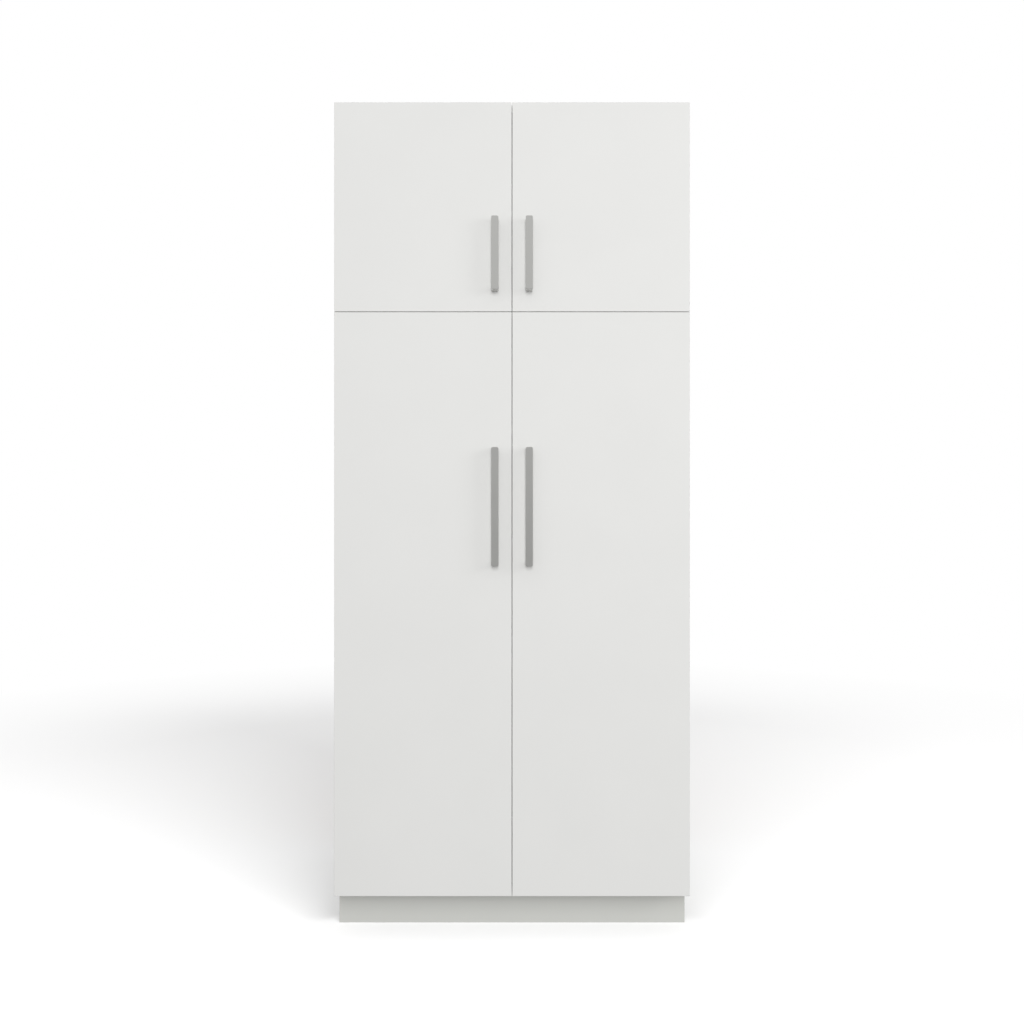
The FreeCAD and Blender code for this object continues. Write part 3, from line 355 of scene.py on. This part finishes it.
def stage_floor():
    """A pale floor that takes shadows near the cabinet and runs out to plain white."""
    mesh = bpy.data.meshes.new("floor")
    signs = [(-1, -1), (1, -1), (1, 1), (-1, 1)]
    mesh.from_pydata([(x * FLOOR_HALF, y * FLOOR_HALF, 0) for x, y in signs], [], [(0, 1, 2, 3)])
    floor = bpy.data.objects.new("floor", mesh)
    scene.collection.objects.link(floor)
    s = Shader("pale_floor")
    tone = s.ramp(s.noise(0.6, 3.0), [(0.3, darker(FLOOR_TONE, 0.99)), (0.7, FLOOR_TONE)])
    s.feed("Base Color", tone)
    s.value("Roughness", 1.0)
    s.value("Specular IOR Level", 0.0)
    s.value("Emission Color", PURE_WHITE)
    s.value("Emission Strength", FLOOR_LIFT)
    away = s.node("ShaderNodeVectorMath", operation="LENGTH")
    s.link(s.coords, away.inputs[0])
    far = s.spread(away.outputs["Value"], 0.0, 1.0, *FLOOR_FADE)
    white = s.node("ShaderNodeEmission")
    seen = s.shader_mix(far, s.bsdf.outputs["BSDF"], white.outputs["Emission"])
    # What the floor throws back at the cabinet is a steady soft light.
    path = s.node("ShaderNodeLightPath")
    bounced = s.math("MAXIMUM", path.outputs["Is Diffuse Ray"], path.outputs["Is Glossy Ray"])
    back = s.node("ShaderNodeEmission")
    s.link(s.spread(path.outputs["Is Glossy Ray"], FLOOR_GLOW, FLOOR_MIRRORED, 0.0, 1.0),
           back.inputs["Strength"])
    surface = s.shader_mix(bounced, seen, back.outputs["Emission"])
    s.link(surface, s.tree.nodes["Material Output"].inputs["Surface"])
    mesh.materials.append(s.mat)
    return floor


def area_light(name, azimuth, elevation, distance, width, height, power, lit):
    """A soft box that lights only the listed objects, and is seen neither directly nor in reflections."""
    light = bpy.data.lights.new(name, "AREA")
    light.shape = "RECTANGLE"
    light.size = width
    light.size_y = height
    light.energy = power
    made = bpy.data.objects.new(name, light)
    made.location = around(azimuth, elevation, distance, LIGHTS_AIM)
    made.rotation_euler = (Vector(LIGHTS_AIM) - made.location).to_track_quat("-Z", "Y").to_euler()
    made.visible_camera = False
    made.visible_glossy = False
    scene.collection.objects.link(made)
    group = bpy.data.collections.new(name + "_lit")
    for thing in lit:
        group.objects.link(thing)
    made.light_linking.receiver_collection = group


def around(azimuth, elevation, distance, target):
    """A point seen from the target at an azimuth right of the front and an elevation."""
    a = math.radians(azimuth)
    e = math.radians(elevation)
    step = Vector((math.sin(a) * math.cos(e), -math.cos(a) * math.cos(e), math.sin(e)))
    return Vector(target) + step * distance


def studio_world():
    """Plain white to the camera, and to other rays a soft light that grows with height."""
    world = bpy.data.worlds.new("studio")
    scene.world = world
    world.use_nodes = True
    tree = world.node_tree
    tree.nodes.clear()
    link = tree.links.new

    def node(kind, **values):
        made = tree.nodes.new(kind)
        for key, number in values.items():
            made.inputs[key.replace("_", " ")].default_value = number
        return made

    output = node("ShaderNodeOutputWorld")
    seen = node("ShaderNodeBackground", Color=PURE_WHITE)
    lit = node("ShaderNodeBackground", Color=PURE_WHITE)
    sky = node("ShaderNodeTexCoord")
    split = node("ShaderNodeSeparateXYZ")
    link(sky.outputs["Generated"], split.inputs["Vector"])
    rise = node("ShaderNodeMapRange", From_Max=AMBIENT_RISE, To_Min=AMBIENT_LOW, To_Max=AMBIENT_HIGH)
    link(split.outputs["Z"], rise.inputs["Value"])
    path = node("ShaderNodeLightPath")
    gain = node("ShaderNodeMapRange", To_Min=1.0, To_Max=AMBIENT_MIRRORED)
    link(path.outputs["Is Glossy Ray"], gain.inputs["Value"])
    level = node("ShaderNodeMath")
    level.operation = "MULTIPLY"
    link(rise.outputs["Result"], level.inputs[0])
    link(gain.outputs["Result"], level.inputs[1])
    link(level.outputs["Value"], lit.inputs["Strength"])
    choose = node("ShaderNodeMixShader")
    link(path.outputs["Is Camera Ray"], choose.inputs["Fac"])
    link(lit.outputs["Background"], choose.inputs[1])
    link(seen.outputs["Background"], choose.inputs[2])
    link(choose.outputs["Shader"], output.inputs["Surface"])


lit_by = {
    "floor": [stage_floor()],
    "cabinet": list(nodes.values()),
    "plinth": [thing for name, thing in nodes.items() if name.startswith("plinth_")],
}
for *placing, lit in LIGHTS:
    area_light(*placing, lit_by[lit])
studio_world()


# ---- camera, level and straight ahead ----

door_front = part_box("door_lower_left")[0].y
camera = bpy.data.cameras.new("camera")
camera.lens = LENS
camera.sensor_width = SENSOR_WIDTH
eye = bpy.data.objects.new("camera", camera)
eye.location = (0.0, door_front - EYE_DISTANCE, EYE_HEIGHT)
eye.rotation_euler = (math.radians(90), 0.0, 0.0)
scene.collection.objects.link(eye)
scene.camera = eye
scene.view_settings.view_transform = "Standard"
scene.view_settings.look = "None"
